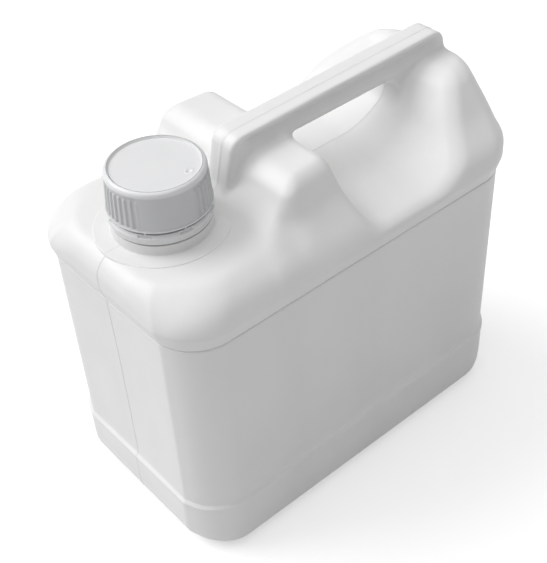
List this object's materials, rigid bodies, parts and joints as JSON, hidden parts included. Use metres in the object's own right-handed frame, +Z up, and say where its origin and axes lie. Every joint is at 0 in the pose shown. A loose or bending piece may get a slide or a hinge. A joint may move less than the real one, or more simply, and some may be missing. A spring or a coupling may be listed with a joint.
{
  "type": "plastic jerrycan",
  "caption": "Stackable oblong blow-moulded jerrycan with a moulded-in bridge handle and a tamper-evident screw cap.",
  "frame": {"origin": "centre of the tank's footprint on the ground", "axes": "+X along the tank, away from the neck; +Y across it; +Z up"},
  "size_m": [0.2334, 0.134, 0.2166],
  "materials": {
    "tank": "satin",
    "cap": "satin",
    "liner": "matte"
  },
  "bodies": {
    "tank": {"jug_body": "tank", "tamper_band": "cap"},
    "liner": {"sealing_liner": "liner"},
    "cap": {"screw_cap": "cap"}
  },
  "joints": [
    {"name": "cap_rise", "type": "slide", "parent": "tank", "child": "liner", "axis": [0, 0, 1], "range_m": [0, 0.018]},
    {"name": "cap_turn", "type": "hinge", "parent": "liner", "child": "cap", "pos_m": [-0.0759, 0, 0.2], "axis": [0, 0, 1], "range_deg": [0, 1620]}
  ],
  "couplings": [
    {"joint": "cap_rise", "follows": "cap_turn", "m_per_rad": 0.00063662}
  ]
}
